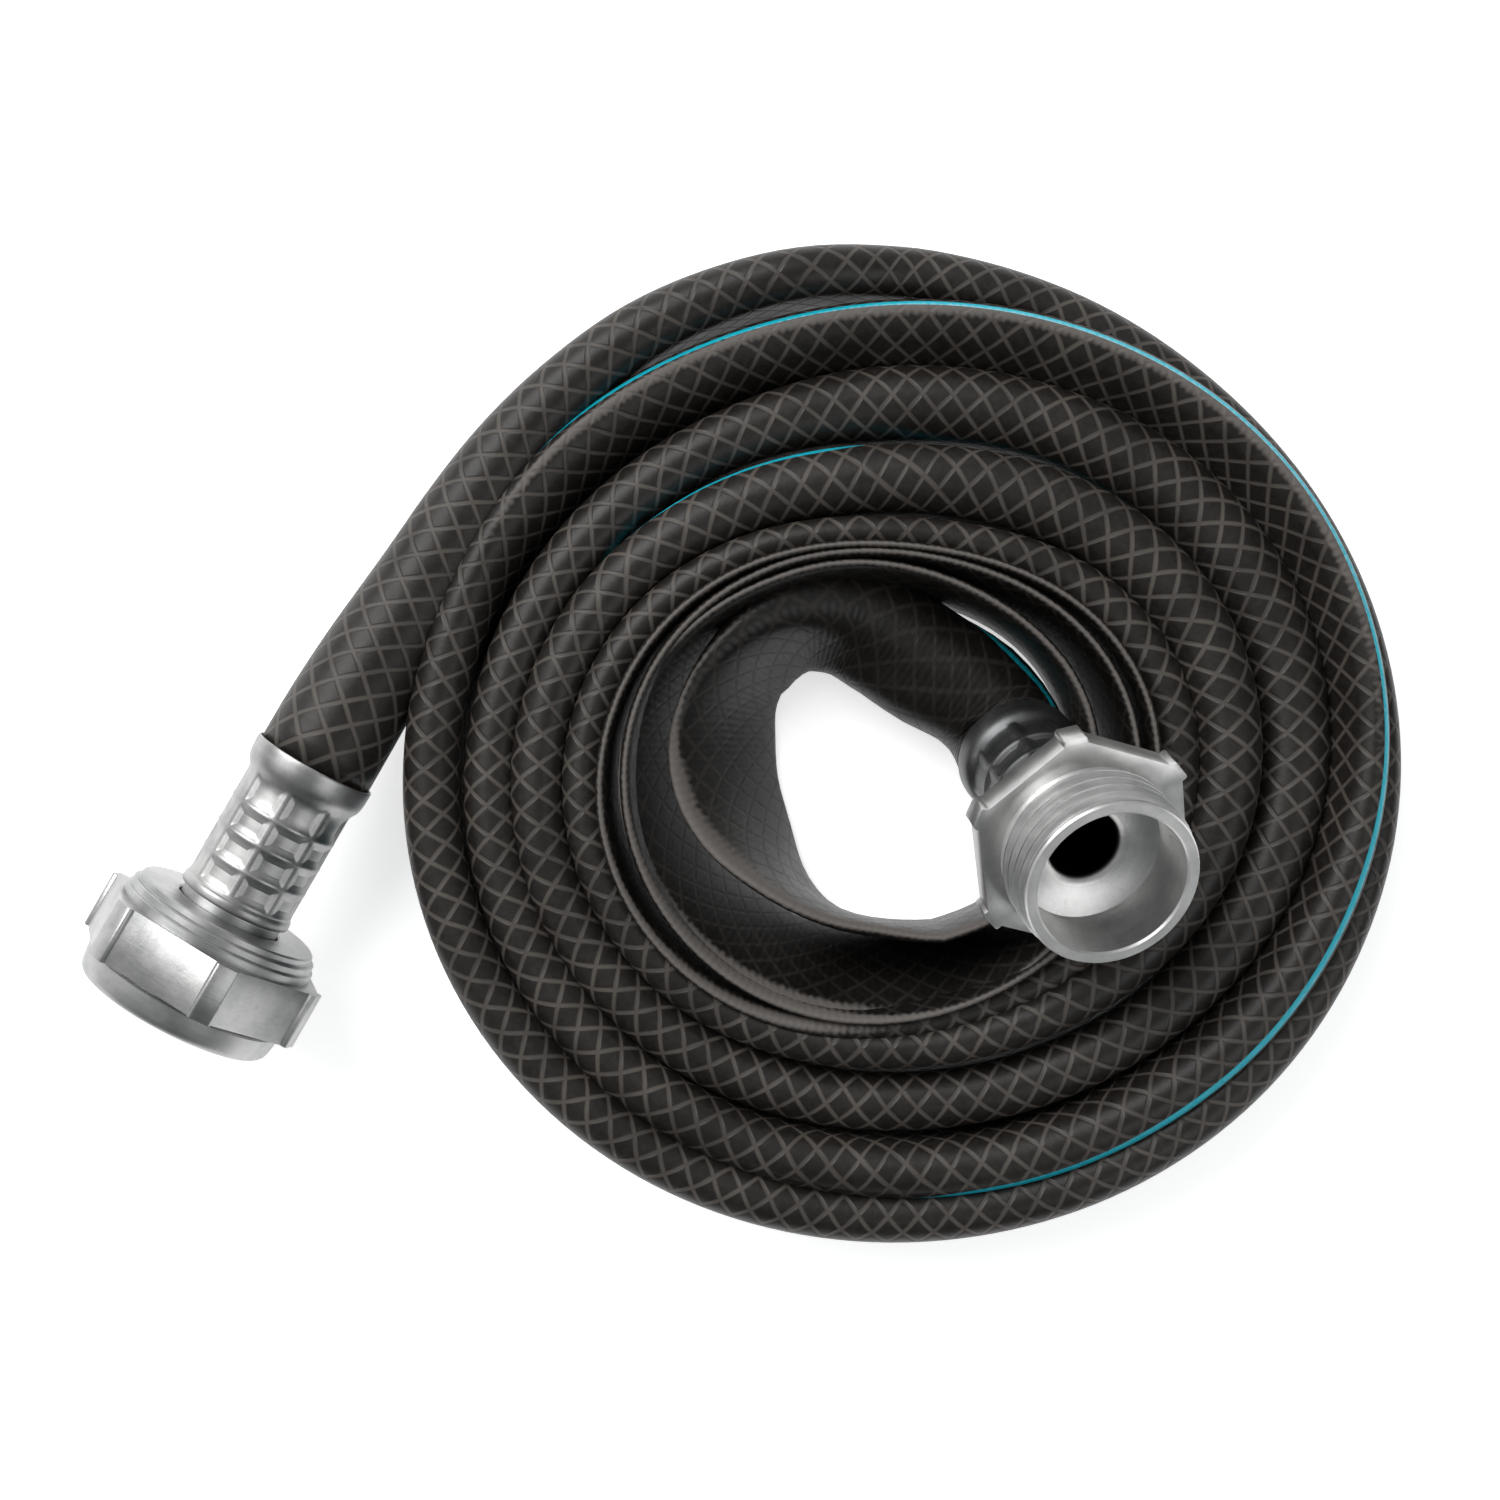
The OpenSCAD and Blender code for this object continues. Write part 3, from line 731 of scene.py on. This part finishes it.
def makeCover():
    look = coverLook
    cover = Finish("hoseCover")
    where = cover.where()
    wall = cover.make("UVMap", {"uv_map": "wall"})
    across = cover.make("SeparateXYZ", None, {0: wall}, out=0)
    along = cover.make("SeparateXYZ", None, {0: wall}, out=1)
    lip = cover.make("Attribute", {"attribute_name": "lip"}, None, out="Fac")
    flatness = cover.make("Attribute", {"attribute_name": "flatness"}, None, out="Fac")
    cloud = cover.noise(where, 95, 3)
    fine = cover.noise(where, 900, 3, 0.6)
    wander = (cover.noise(where, 160, 1) - 0.5) * 0.10
    yarns = None
    for way in (1, -1):
        phase = across * look["yarns"] + along * way + wander
        distance = ((phase.math("FRACT") - 0.5).math("ABSOLUTE") - 0.5).math("ABSOLUTE")
        line = cover.ramp(distance, look["yarnHalfWidth"] * 0.35, look["yarnHalfWidth"] * 1.25, 1.0, 0.0)
        yarns = line if yarns is None else yarns.math("MAXIMUM", line)
    shown = cover.ramp(cloud, 0.30, 0.68, 0.50, 1.0) * (1 - flatness * 0.82)
    body = cover.blend(cover.ramp(fine + cloud * 0.6, 0.65, 1.0, 0, 0.8), look["black"], look["worn"])
    # Painted shade: the flat faces and the inner lead are darkened towards black, where their leaning faces
    # lie in shade.
    body = cover.blend(flatness * 0.45, body, (0.002, 0.0018, 0.0016, 1))
    colour = cover.blend(yarns * shown * 0.8, body, look["yarn"])
    ribs = (along * (4 * 2 * math.pi) + cloud * 9).math("SINE")
    # Pale folded lips: partly whitened wear, partly painted sheen; also rougher.
    lipWearAndSheenShown = cover.ramp(lip + (fine - 0.5) * 0.5 + ribs * 0.07, 0.35, 0.95)
    colour = cover.blend(lipWearAndSheenShown * 0.8, colour, look["lip"])
    fromStripe = ((across + 0.5).math("FRACT") - 0.5).math("ABSOLUTE")
    stripe = cover.ramp(fromStripe, look["stripeHalfWidth"] * 0.8, look["stripeHalfWidth"] * 1.15, 1.0, 0.0)
    # The stripe turns pale on the lips: partly wear, partly painted reflection.
    cyan = cover.blend(lipWearAndSheenShown * 0.75, look["cyan"], look["cyanLipWearAndSheen"])
    colour = cover.blend(stripe * cover.ramp(fine, 0.25, 0.45, 0.8, 1.0), colour, cyan)
    cover.set(Base_Color=colour, Roughness=0.42 + (cloud - 0.5) * 0.25 + yarns * 0.08 + lipWearAndSheenShown * 0.2)
    cover.bump(yarns * (1 - flatness * 0.7) * 0.5 + fine * 0.25 + ribs * flatness * 0.12, 0.5, 0.0003)
    cover.shader.inputs["Specular IOR Level"].default_value = 0.34
    return cover.material


hosePiece.data.materials.append(makeCover())

# Metal and rubber finishes. Turning marks follow the axis of the end that the piece is on.
metalLook = {
    # base, worn, roughness, marks per metre, strength of the marks
    "turned": ((0.34, 0.345, 0.345, 1), (0.50, 0.50, 0.495, 1), 0.41, 2600, 0.30),
    "bright": ((0.58, 0.58, 0.575, 1), (0.76, 0.76, 0.75, 1), 0.38, 2600, 0.30),
    "pressed": ((0.28, 0.28, 0.28, 1), (0.44, 0.44, 0.435, 1), 0.40, 900, 0.10),
    "shaded": ((0.12, 0.123, 0.125, 1), (0.22, 0.222, 0.222, 1), 0.44, 900, 0.10),
}


def makeMetal(name, kind, at, axis):
    base, worn, rough, marks, depth = metalLook[kind]
    metal = Finish(name)
    where = metal.where()
    settings = {"vector_type": "TEXTURE"}
    turned = (0, math.acos(axis.z), math.atan2(axis.y, axis.x))
    local = metal.make("Mapping", settings, {"Vector": where, "Location": tuple(at), "Rotation": turned})
    x, y, z = (metal.make("SeparateXYZ", None, {0: local}, out=k) for k in range(3))
    radius = (x * x + y * y).math("SQRT")
    rings = metal.noise(metal.make("CombineXYZ", None, {0: radius, 2: z}), marks, 4, 0.7)
    around = y.math("ARCTAN2", x)
    drawn = metal.make("CombineXYZ", None, {0: around * 0.012, 1: radius * 0.4, 2: z * 0.15})
    streak = metal.noise(drawn, 1600, 3)
    cloud = metal.noise(where, 140, 4, 0.6)
    grit = metal.noise(where, 4200, 2)
    shade = metal.ramp(cloud + (rings - 0.5) * 0.35, 0.30, 0.72)
    scuffed = metal.ramp(metal.noise(where, 420, 5, 0.75), 0.60, 0.70)
    colour = metal.blend(shade, base, worn)
    colour = metal.blend(scuffed * 0.35, colour, (0.34, 0.34, 0.335, 1))
    bore = outlet["bore"] * mm                     # no light gets down the waterway
    inside = metal.ramp(radius, bore + 0.1 * mm, bore + 0.5 * mm, 0.96, 0.0)
    colour = metal.blend(inside, colour, (0.006, 0.006, 0.006, 1))
    metal.set(Base_Color=colour, Metallic=1.0,
              Roughness=rough + (cloud - 0.5) * 0.14 + (rings - 0.5) * 0.10 + scuffed * 0.10)
    metal.bump(rings * 0.6 + streak * 0.5 + grit * 0.25, depth, 0.00012)
    return metal.material


def makeRubber(name, dark, pale, rough):
    rubber = Finish(name)
    where = rubber.where()
    cloud = rubber.noise(where, 260, 4, 0.6)
    grain = rubber.noise(where, 3000, 3, 0.6)
    rubber.set(Base_Color=rubber.blend(rubber.ramp(cloud, 0.3, 0.8), dark, pale),
               Roughness=rough + (grain - 0.5) * 0.2)
    rubber.bump(grain, 0.35, 0.0002)
    return rubber.material


def makeYarn(name):                                # the crossing yarns where the wall is cut
    yarn = Finish(name)
    where = yarn.where()
    x, y, z = (yarn.make("SeparateXYZ", None, {0: where}, out=k) for k in range(3))
    weave = ((x + y + z) * 3800).math("SINE") * ((x - y + z) * 3800).math("SINE")
    fuzz = yarn.noise(where, 2600, 4, 0.7)
    yarn.set(Base_Color=yarn.blend(yarn.ramp(weave + fuzz * 0.5, -0.4, 0.9), (0.05, 0.043, 0.038, 1),
                                   (0.19, 0.165, 0.142, 1)), Roughness=0.75)
    yarn.bump(weave * 0.5 + fuzz, 0.4, 0.0002)
    return yarn.material


def paintNode(name, material):                     # a CAD piece keeps its shape and gets the finish
    mesh = frame["nodes"][name].data
    mesh.materials.clear()
    mesh.materials.append(material)


def paintMetal():
    ends = {"inlet": (inletAt, inletAxis), "outlet": (outletAt, outletAxis)}
    inletFerrule.data.materials.append(makeMetal("inletFerruleMetal", "pressed", *ends["inlet"]))
    outletFerrule.data.materials.append(makeMetal("outletFerruleMetal", "shaded", *ends["outlet"]))
    inletTurned = makeMetal("inletTurnedMetal", "turned", *ends["inlet"])
    nutPiece.data.materials.append(inletTurned)
    paintNode("inlet_tailpiece", inletTurned)
    outletPiece.data.materials.append(makeMetal("outletTurnedMetal", "bright", *ends["outlet"]))
    washer = makeRubber("washerRubber", (0.012, 0.012, 0.012, 1), (0.030, 0.029, 0.028, 1), 0.55)
    paintNode("seal_washer", washer)
    liner = makeRubber("linerRubber", (0.010, 0.010, 0.010, 1), (0.024, 0.023, 0.022, 1), 0.40)
    cover = makeRubber("endCoverRubber", (0.009, 0.008, 0.007, 1), (0.021, 0.018, 0.016, 1), 0.45)
    yarn = makeYarn("braidYarn")
    for end in ends:
        paintNode(end + "_end_liner", liner)
        paintNode(end + "_end_braid", yarn)
        paintNode(end + "_end_cover", cover)
    print("metal and rubber finished")


paintMetal()


stageLook = {
    "floor": (0.93, 0.93, 0.93, 1),
    "floorGlow": 0.62,
    "worldDark": (0.16, 0.18, 0.19, 1),      # towards the right and the front
    "worldPale": (1.25, 1.25, 1.25, 1),
    "worldWay": (-0.62, 0.78, 0),            # from dark to pale
    "worldTurns": (-0.55, 0.35),             # along it, where it begins and ends to turn pale
    "worldStrength": 0.42,
    # name, place, size, power in watts; each lamp faces the middle of the object
    "lamps": [("keyLamp", (-0.50, 0.55, 0.80), 0.70, 9.5), ("fillLamp", (0.60, -0.40, 0.75), 0.60, 2.2)],
}


def makeStage():
    deselectAll()
    bpy.ops.mesh.primitive_plane_add(size=6, location=(0, 0, 0))
    floor = bpy.context.object
    floor.name = "floor"
    paint = Finish("floorPaint")
    speck = paint.noise(paint.where(), 8, 2)
    paint.set(Base_Color=paint.blend(speck * 0.06, stageLook["floor"], (0.85, 0.85, 0.85, 1)), Roughness=0.9)
    paint.shader.inputs["Emission Color"].default_value = (1, 1, 1, 1)
    paint.shader.inputs["Emission Strength"].default_value = stageLook["floorGlow"]
    floor.data.materials.append(paint.material)
    scene.world = bpy.data.worlds.new("studio")
    scene.world.use_nodes = True
    nodes = scene.world.node_tree.nodes
    links = scene.world.node_tree.links
    sky = nodes["Background"]
    sky.inputs[1].default_value = stageLook["worldStrength"]
    way = nodes.new("ShaderNodeVectorMath")
    way.operation = "DOT_PRODUCT"
    way.inputs[1].default_value = stageLook["worldWay"]
    shade = nodes.new("ShaderNodeMix")
    shade.data_type = "RGBA"
    shade.inputs[6].default_value = stageLook["worldDark"]
    shade.inputs[7].default_value = stageLook["worldPale"]
    spread = nodes.new("ShaderNodeMapRange")
    spread.inputs["From Min"].default_value = stageLook["worldTurns"][0]
    spread.inputs["From Max"].default_value = stageLook["worldTurns"][1]
    links.new(nodes.new("ShaderNodeTexCoord").outputs["Generated"], way.inputs[0])
    links.new(way.outputs["Value"], spread.inputs["Value"])
    links.new(spread.outputs["Result"], shade.inputs[0])
    links.new(shade.outputs[2], sky.inputs[0])
    for name, place, size, power in stageLook["lamps"]:
        bpy.ops.object.light_add(type="AREA", location=place)
        lamp = bpy.context.object
        lamp.name = name
        lamp.data.size = size
        lamp.data.energy = power
        lamp.rotation_euler = (-Vector(place)).to_track_quat("-Z", "Y").to_euler()
    print("stage made")


makeStage()
